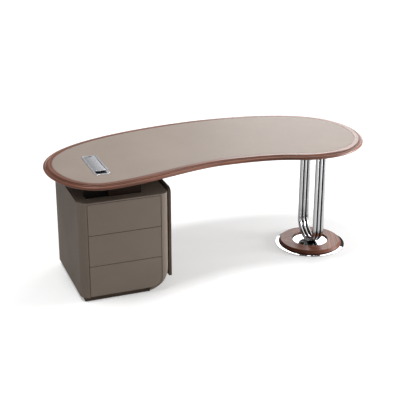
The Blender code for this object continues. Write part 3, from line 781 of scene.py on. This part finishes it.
stain_dark = (0.100, 0.066, 0.048, 1)
stain_light = (0.170, 0.120, 0.090, 1)
stain_pore_colour = (0.010, 0.006, 0.005, 1)
stain_grain_scales = (5.0, 130.0, 130.0)
stain_grain_range = (0.3, 0.75)
stain_pore_scales = (60.0, 1600.0, 1600.0)
stain_pore_range = (0.60, 0.72)
stain_pore_tone = 0.5
stain_roughness = 0.56
stain_grain_roughness = 0.15
stain_grain_relief = 0.5
stain_pore_depth = 0.00015

stained = Finish("stained_board", {})
stained_grain = stained.noise(stained.place(stain_grain_scales), 1.0, detail=5.0, distortion=0.3)
stained_pores = stained.noise(stained.place(stain_pore_scales), 1.0, detail=1.0).between(*stain_pore_range)
stained_colour = stained.mix(stained_grain.between(*stain_grain_range), stain_dark, stain_light)
stained.shade({
    "Base Color": stained.mix(stained_pores * stain_pore_tone, stained_colour, stain_pore_colour),
    "Roughness": stain_roughness + stained_grain * stain_grain_roughness,
})
stained.bump(stained_grain * stain_grain_relief - stained_pores, stain_pore_depth)
eased_copy("top_board", "core_board", stained, fine_ease)


# Wooden rim
# A moulded walnut rim round the whole top: a flat band, a cove, a narrow quirk and a full bead. It is made
# of staves that are glued end to end, shaped with a cutter and lacquered satin.

desk_length = 2.110
desk_depth = 1.010
desk_height = 0.750
outline_steps = 48
outline_margin = 0.0001
outline_shares = (
    ("down", 0.000, 0.395, 0.561, 0.192),
    ("right", 0.134, 0.000, 0.081, 0.124),
    ("right", 0.500, 0.148, 0.106, 0.230),
    ("right", 0.812, 0.041, 0.109, 0.107),
    ("up", 1.000, 0.465, 0.257, 0.400),
    ("left", 0.558, 1.000, 0.237, 0.070),
)
top_thickness = 0.030
rim_width = 0.058
seam_width = 0.004
band_width = 0.027
cove_radius = 0.0075
cove_start_angle = 195.0
rim_foot = 0.0015
arris_round = 0.0010
bead_radius = (top_thickness - cove_radius - rim_foot) / 2
bead_start_angle = 150.0
arris_steps = 4
cove_steps = 8
bead_steps = 26
stave_steps = 32
stave_shift_along = 0.080
rim_smooth_angle = 38.0
rim_walnut_dark = (0.082, 0.025, 0.012, 1)
rim_walnut_light = (0.280, 0.101, 0.056, 1)
rim_gloss = 0.50
rim_painted_side_shade = 0.25


def kidney_outline():
    """The outermost line of the top, seen from above."""
    directions = {"down": (0, -1), "right": (1, 0), "up": (0, 1), "left": (-1, 0)}
    nodes = []
    for heading, x_share, y_share, before_share, after_share in outline_shares:
        direction = Vector(directions[heading])
        reach = direction * (desk_length if direction.x else desk_depth)
        point = Vector((desk_length * (x_share - 1 / 2), desk_depth * (y_share - 1 / 2)))
        nodes.append((point, point - reach * before_share, point + reach * after_share))
    points = []
    for node, following in zip(nodes, nodes[1:] + nodes[:1]):
        curve = interpolate_bezier(node[0], node[2], following[1], following[0], outline_steps + 1)
        points.extend(curve[:-1])
    return points


def outward_normals(points):
    normals = []
    count = len(points)
    for index in range(count):
        along = points[(index + 1) % count] - points[index - 1]
        normals.append(Vector((along.y, -along.x)).normalized())
    return normals


def inset_outline(points, distance):
    """The outline moved inwards by the same distance all round."""
    return [point - normal * distance for point, normal in zip(points, outward_normals(points))]


def rim_section():
    """Cross-section of the rim: distance out from the leather's edge, and height from the leather."""
    band_end = seam_width + band_width
    cove_end = band_end + cove_radius
    bead_centre = (rim_width - bead_radius, -cove_radius - bead_radius)
    section = [Vector((seam_width, -top_thickness))]
    section += arc((seam_width + arris_round, -arris_round), arris_round, 180.0, 90.0, arris_steps)
    section += arc((band_end - arris_round, -arris_round), arris_round, 90.0, 0, arris_steps)
    section += arc((cove_end, 0), cove_radius, cove_start_angle, 270.0, cove_steps)
    section += arc(bead_centre, bead_radius, bead_start_angle, -90.0, bead_steps)
    section.append(Vector((bead_centre[0] - arris_round, -top_thickness)))
    return section


outline = inset_outline(kidney_outline(), outline_margin)
section = rim_section()
rim_shape = bmesh.new()
rim_grain = rim_shape.loops.layers.float_vector.new("grain")
rim_joint = rim_shape.loops.layers.float.new("joint")
rings = []
travel = [0.0]
for index, (point, normal) in enumerate(zip(outline, outward_normals(outline))):
    ring = []
    for across, height in section:
        spot = point + normal * (across - rim_width)
        ring.append(rim_shape.verts.new((spot.x, spot.y, desk_height + height)))
    rings.append(ring)
    travel.append(travel[-1] + (outline[(index + 1) % len(outline)] - point).length)
for index, ring in enumerate(rings):
    following = rings[(index + 1) % len(rings)]
    stave = index // stave_steps
    stave_start = travel[stave * stave_steps]
    stave_end = travel[min((stave + 1) * stave_steps, len(outline))]
    for corner, face in enumerate(bridge(rim_shape, ring, following)):
        after = (corner + 1) % len(section)
        places = ((index, corner), (index, after), (index + 1, after), (index + 1, corner))
        for loop, (step, point) in zip(face.loops, places):
            along = travel[step]
            across, height = section[point]
            loop[rim_grain] = (along + stave_shift_along * stave, across, height)
            loop[rim_joint] = min(along - stave_start, stave_end - along)

rim_wood = walnut_finish("rim_walnut", rim_walnut_dark, rim_walnut_light, rim_gloss, rim_painted_side_shade)
add_piece("moulded_rim", rim_shape, rim_wood, ["wood_rim"], rim_smooth_angle)


# Leather
# One hide of smooth, fine-grained leather, glued flat on the board, with its edge turned down into the
# seam. A hole is cut in it for the power module.

def plate(outer, hole, low, high, edge, steps):
    """A flat plate with a hole, whose upper edges are rounded."""
    shape = bmesh.new()
    profile = [(0, low)]
    for step in range(steps + 1):
        angle = math.pi / 2 * step / steps
        profile.append((edge * (1 - math.cos(angle)), high - edge * (1 - math.sin(angle))))
    floors = []
    tops = []
    for line, inwards in ((outer, 1), (hole, -1)):
        loops = []
        for inset, level in profile:
            moved = inset_outline(line, inset * inwards)
            loops.append([shape.verts.new((point.x, point.y, level)) for point in moved])
        for loop, following in zip(loops, loops[1:]):
            bridge(shape, loop, following)
        floors.append(loops[0])
        tops.append(loops[-1])
    for caps in (floors, tops):
        edges = []
        for loop in caps:
            for vert, following in zip(loop, loop[1:] + loop[:1]):
                edges.append(shape.edges.get((vert, following)))
        bmesh.ops.triangle_fill(shape, use_beauty=True, edges=edges)
    return shape


bezel_low, bezel_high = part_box("power_bezel")
module_near_corner = 0.034
module_far_corner = 0.014
module_corner_steps = 14


def module_outline(inset):
    """The power module's rounded outline, seen from above, moved in by a distance."""
    near = module_near_corner
    far = module_far_corner
    corners = (
        (bezel_low.x + near, bezel_low.y + near, near),
        (bezel_high.x - near, bezel_low.y + near, near),
        (bezel_high.x - far, bezel_high.y - far, far),
        (bezel_low.x + far, bezel_high.y - far, far),
    )
    points = []
    for quarter, (x, y, radius) in enumerate(corners):
        start = 180.0 + 90.0 * quarter
        points += arc((x, y), radius - inset, start, start + 90.0, module_corner_steps)
    return points


hide_dark = (0.305, 0.245, 0.206, 1)
hide_light = (0.358, 0.290, 0.246, 1)
hide_valley_colour = (0.202, 0.159, 0.133, 1)
hide_pebble_scale = 620.0
hide_crease_scale = 180.0
hide_pore_scale = 2400.0
hide_patch_scale = 2.2
hide_valley_range = (0.25, 0.75)
hide_patch_range = (0.25, 0.75)
hide_crease_range = (0.45, 0.8)
hide_valley_tone = 0.30
hide_crease_tone = 0.12
hide_roughness = 0.46
hide_valley_roughness = 0.14
hide_patch_roughness = 0.08
hide_pore_relief = 0.15
hide_crease_relief = 0.8
hide_grain_depth = 0.00016

hide = Finish("taupe_hide", {"Specular IOR Level": 0.45})
pebble_values = {"Vector": hide.place(), "Scale": hide_pebble_scale}
pebbles = hide.node("ShaderNodeTexVoronoi", {"feature": "SMOOTH_F1"}, pebble_values, "Distance")
creases = hide.noise(hide.place(), hide_crease_scale, detail=5.0, distortion=0.6)
pores = hide.noise(hide.place(), hide_pore_scale, detail=2.0)
patches = hide.noise(hide.place(), hide_patch_scale, detail=4.0)
valleys = pebbles.between(*hide_valley_range)
hide_shadow = valleys * hide_valley_tone + creases.between(*hide_crease_range) * hide_crease_tone
hide_colour = hide.mix(patches.between(*hide_patch_range), hide_dark, hide_light)
hide.shade({
    "Base Color": hide.mix(hide_shadow, hide_colour, hide_valley_colour),
    "Roughness": hide_roughness + valleys * hide_valley_roughness + patches * hide_patch_roughness,
})
hide.bump(pores * hide_pore_relief - valleys - creases * hide_crease_relief, hide_grain_depth)

leather_low, leather_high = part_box("leather_top")
leather_edge = 0.0014
leather_edge_steps = 4
leather_gap = 0.0003

leather_lines = (inset_outline(outline, rim_width), module_outline(-leather_gap))
leather_shape = plate(*leather_lines, leather_low.z, leather_high.z, leather_edge, leather_edge_steps)
add_piece("leather_sheet", leather_shape, hide, ["leather_top"], eased_smooth_angle)

tuck_thickness = 0.0018
tuck_edge_steps = 3

tuck_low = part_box("top_board")[1].z + leather_gap / 2
tuck_high = tuck_low + tuck_thickness
tuck_line = inset_outline(outline, rim_width - seam_width + leather_gap)
tuck_hole = inset_outline(outline, rim_width + leather_gap)
tuck_shape = plate(tuck_line, tuck_hole, tuck_low, tuck_high, tuck_thickness / 3, tuck_edge_steps)
add_piece("leather_edge", tuck_shape, hide, [], eased_smooth_angle)


# Power module
# An aluminium frame let into the leather, over a moulded tub with two sockets in its near end. A brushed
# cover, pressed a little crowned across, slides over them on the ledges of the tub.

aluminium_light = (0.88, 0.89, 0.92, 1)
aluminium_dark = (0.74, 0.75, 0.79, 1)
brush_line_scales = (2200.0, 14.0, 2200.0)
brush_wave_scales = (500.0, 3.0, 500.0)
brush_wave_relief = 0.5
brush_line_depth = 0.000012
handling_scale = 22.0
brush_line_share = 0.7
handling_share = 0.3
aluminium_roughness = 0.18
brush_line_roughness = 0.12
handling_roughness = 0.05
metre = 1.0


def brushed_aluminium(name, middle, crown):
    """Aluminium that is brushed lengthways, and crowned by a curvature about its middle line."""
    metal = Finish(name, {"Metallic": 1.0})
    brush_lines = metal.noise(metal.place(brush_line_scales), 1.0)
    brush_waves = metal.noise(metal.place(brush_wave_scales), 1.0, detail=2.0)
    handling = metal.noise(metal.place(), handling_scale)
    tone = brush_lines * brush_line_share + handling * handling_share
    metal.shade({
        "Base Color": metal.mix(tone, aluminium_light, aluminium_dark),
        "Roughness": aluminium_roughness + brush_lines * brush_line_roughness + handling * handling_roughness,
    })
    aside = metal.axis(metal.place(), "X") - middle
    brushed = (brush_lines + brush_waves * brush_wave_relief) * brush_line_depth
    metal.bump(brushed - aside * aside * (crown / 2), metre)
    return metal


bezel_width = 0.010
bezel_round = 0.0012
bezel_round_steps = 6

aluminium = brushed_aluminium("brushed_aluminium", 0, 0)
bezel_lines = (module_outline(0), module_outline(bezel_width))
bezel_shape = plate(*bezel_lines, bezel_low.z, bezel_high.z, bezel_round, bezel_round_steps)
add_piece("module_frame", bezel_shape, aluminium, ["power_bezel"], metal_smooth_angle)

lid_low, lid_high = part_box("power_lid")
lid_crown = 9.0

crowned = brushed_aluminium("crowned_aluminium", (lid_low.x + lid_high.x) / 2, lid_crown)
eased_copy("power_lid", "sliding_cover", crowned, fine_ease, "lid")

plastic_stipple_scale = 1500.0
plastic_flow_scale = 40.0
plastic_stipple_roughness = 0.12
plastic_stipple_depth = 0.00004


def moulded_plastic(name, dark, light, roughness):
    """Moulded plastic: a fine stipple from the mould, and faint clouds where it flowed."""
    plastic = Finish(name, {})
    stipple = plastic.noise(plastic.place(), plastic_stipple_scale)
    flow = plastic.noise(plastic.place(), plastic_flow_scale, detail=2.0)
    plastic.shade({
        "Base Color": plastic.mix(flow, dark, light),
        "Roughness": roughness + stipple * plastic_stipple_roughness,
    })
    plastic.bump(stipple, plastic_stipple_depth)
    return plastic


# Grey plastic for the tub and the insert, made paler so that the shaded recess under the cover reads lighter:
# partly their own grey, partly painted light.
tub_dark = (0.560, 0.563, 0.575, 1)
tub_light = (0.620, 0.623, 0.635, 1)
tub_roughness = 0.44
insert_dark = (0.560, 0.570, 0.585, 1)
insert_light = (0.620, 0.630, 0.645, 1)
insert_roughness = 0.40
outlet_dark = (0.760, 0.770, 0.780, 1)
outlet_light = (0.820, 0.830, 0.840, 1)
outlet_roughness = 0.26
plastic_ease = 0.0003

tub_plastic = moulded_plastic("tub_plastic", tub_dark, tub_light, tub_roughness)
insert_plastic = moulded_plastic("grey_plastic", insert_dark, insert_light, insert_roughness)
outlet_plastic = moulded_plastic("white_plastic", outlet_dark, outlet_light, outlet_roughness)
eased_copy("power_tub", "module_tub", tub_plastic, plastic_ease)
eased_copy("socket_block", "socket_insert", insert_plastic, fine_ease)
for hand in ("left", "right"):
    eased_copy(f"socket_{hand}", f"outlet_{hand}", outlet_plastic, plastic_ease)


# Floor
# A plain pale floor that keeps the desk's soft shadow. Its open parts come out white in a picture, and what
# the chrome mirrors of it carries a painted shadow, dark close round the leg.

floor_size = 60.0
floor_cells = 4
floor_colour = (0.56, 0.56, 0.56, 1)
floor_seen_colour = (0.72, 0.72, 0.72, 1)
floor_mirrored_colour = (0.62, 0.62, 0.62, 1)
floor_painted_shadow_colour = (0.05, 0.05, 0.05, 1)
painted_shadow_range = (0.235, 0.30)
floor_glow = 0.32
black = (0, 0, 0, 1)
white = (1, 1, 1, 1)

floor_mesh = bpy.data.meshes.new("floor")
floor_shape = bmesh.new()
bmesh.ops.create_grid(floor_shape, x_segments=floor_cells, y_segments=floor_cells, size=floor_size)
floor_shape.to_mesh(floor_mesh)
floor_shape.free()
floor = bpy.data.objects.new("floor", floor_mesh)
bpy.context.scene.collection.objects.link(floor)

pale = Finish("pale_floor", {"Roughness": 0.9, "Specular IOR Level": 0.0, "Emission Strength": floor_glow})
floor_seen = pale.ray("Camera")
floor_mirrored = pale.ray("Glossy")
# Close round the leg the floor is painted dark for mirrors alone: a painted contact shadow of the disc.
leg_points = {0: pale.place(), 1: tuple(leg_centre)}
from_leg = pale.node("ShaderNodeVectorMath", {"operation": "DISTANCE"}, leg_points, "Value")
open_floor = from_leg.between(*painted_shadow_range)
mirrored_tone = pale.mix(open_floor, floor_painted_shadow_colour, floor_mirrored_colour)
floor_tone = pale.mix(floor_mirrored, floor_colour, mirrored_tone)
pale.shade({
    "Base Color": pale.mix(floor_seen, floor_tone, floor_seen_colour),
    "Emission Color": pale.mix(floor_seen, black, white),
})
floor_mesh.materials.append(pale.material)


# Black card
# An upright card of black board behind the leg, like those that a studio stands beside polished metal. Only
# what mirrors sees it: it is the dark wedge at the right of the disc.

card_near = (1.345, 0.480)
card_far = (1.790, 0.160)
card_height = 0.47

card_corners = [(*card_near, 0), (*card_far, 0), (*card_far, card_height), (*card_near, card_height)]
card_mesh = bpy.data.meshes.new("black_card")
card_mesh.from_pydata(card_corners, [], [(0, 1, 2, 3)])
card_mesh.materials.append(powder.material)
card = bpy.data.objects.new("black_card", card_mesh)
card.visible_camera = False
card.visible_diffuse = False
card.visible_shadow = False
bpy.context.scene.collection.objects.link(card)


# Light
# Soft light from all round, a little brighter from the right, with a wide lamp overhead, a low lamp on the
# right and a large one high behind the right end. What metal mirrors is a room that is dark along the
# horizon and on the left, bright on the right and above.

air_dim = 0.42
air_bright = 1.05
air_side_range = (-0.8, 0.6)
air_height_range = (0.0, 1.0)
air_overhead_share = 0.42
mirror_left = 0.20
mirror_dim = 0.37
mirror_dim_range = (-0.15, 0.15)
mirror_bright = 2.20
mirror_bright_range = (0.39, 0.47)
mirror_above = 1.30
mirror_above_range = (0.10, 0.35)
mirror_above_height = (0.40, 0.50)
mirror_low_share = 0.07
mirror_low_range = (0.49, 0.54)
mirror_low_height = (0.24, 0.36)
mirror_horizon_share = 0.06
mirror_horizon_height = (0.08, 0.20)


class Surroundings(Finish):
    """The light that comes from all round, with the same way to add nodes."""

    def __init__(self, world):
        world.use_nodes = True
        self.tree = world.node_tree
        self.shader = self.tree.nodes["Background"]


world = bpy.data.worlds.new("studio")
bpy.context.scene.world = world
air = Surroundings(world)
air_seen = air.ray("Camera")
air_mirrored = air.ray("Glossy")
air_through = air.ray("Transmission")
heading = air.node("ShaderNodeTexCoord", {}, {}, "Generated")
right = air.axis(heading, "X")
up = air.axis(heading, "Z")
plain = air_dim + right.between(*air_side_range) * (air_bright - air_dim)
plain = plain * (1 - up.between(*air_height_range) * (1 - air_overhead_share))
shining = mirror_left + right.between(*mirror_dim_range) * (mirror_dim - mirror_left)
shining = shining + right.between(*mirror_bright_range) * (mirror_bright - mirror_dim)
above = mirror_dim + right.between(*mirror_above_range) * (mirror_above - mirror_dim)
shining = shining + up.between(*mirror_above_height) * (above - shining)
low_right = right.between(*mirror_low_range) * (1 - up.between(*mirror_low_height))
shining = shining * (1 - low_right * (1 - mirror_low_share))
clear_of_horizon = up.between(*mirror_horizon_height) * (1 - mirror_horizon_share)
shining = shining * (mirror_horizon_share + clear_of_horizon)
strength = plain + air_seen * (1 - plain) + (air_mirrored + air_through).least(1.0) * (shining - plain)
air.shade({"Color": white, "Strength": strength})


def add_lamp(name, kind, place, aim, power, **settings):
    light = bpy.data.lights.new(name, kind)
    light.energy = power
    for key, value in settings.items():
        setattr(light, key, value)
    lamp = bpy.data.objects.new(name, light)
    lamp.location = place
    lamp.rotation_euler = (Vector(aim) - Vector(place)).to_track_quat("-Z", "Y").to_euler()
    lamp.visible_camera = False
    bpy.context.scene.collection.objects.link(lamp)


overhead_place = (-0.75, 0.08, 4.0)
overhead_aim = (0, 0, 0)
overhead_strength = 1.75
overhead_softness = 16.0
front_lamp_place = (3.3, -1.2, 0.40)
front_lamp_aim = (-0.4, -0.4, 0.3)
front_lamp_size = 1.2
front_lamp_power = 160.0
back_lamp_place = (2.8, 3.6, 2.65)
back_lamp_aim = (0.6, 0.0, 0.75)
back_lamp_size = 2.5
back_lamp_power = 75.0

softness = math.radians(overhead_softness)
add_lamp("overhead", "SUN", overhead_place, overhead_aim, overhead_strength, angle=softness)
add_lamp("front_lamp", "AREA", front_lamp_place, front_lamp_aim, front_lamp_power, size=front_lamp_size)
add_lamp("back_lamp", "AREA", back_lamp_place, back_lamp_aim, back_lamp_power, size=back_lamp_size)


# Camera
# A long lens that looks down on the desk from the front left.

camera_place = (-2.1793, -5.7969, 2.8672)
camera_tilt = 67.981
camera_turn = -20.376
camera_lens = 92.16
sensor_width = 36.0

camera_data = bpy.data.cameras.new("camera")
camera_data.lens = camera_lens
camera_data.sensor_width = sensor_width
camera = bpy.data.objects.new("camera", camera_data)
camera.location = camera_place
camera.rotation_euler = (math.radians(camera_tilt), 0, math.radians(camera_turn))
bpy.context.scene.collection.objects.link(camera)
bpy.context.scene.camera = camera
bpy.context.scene.view_settings.view_transform = "Standard"
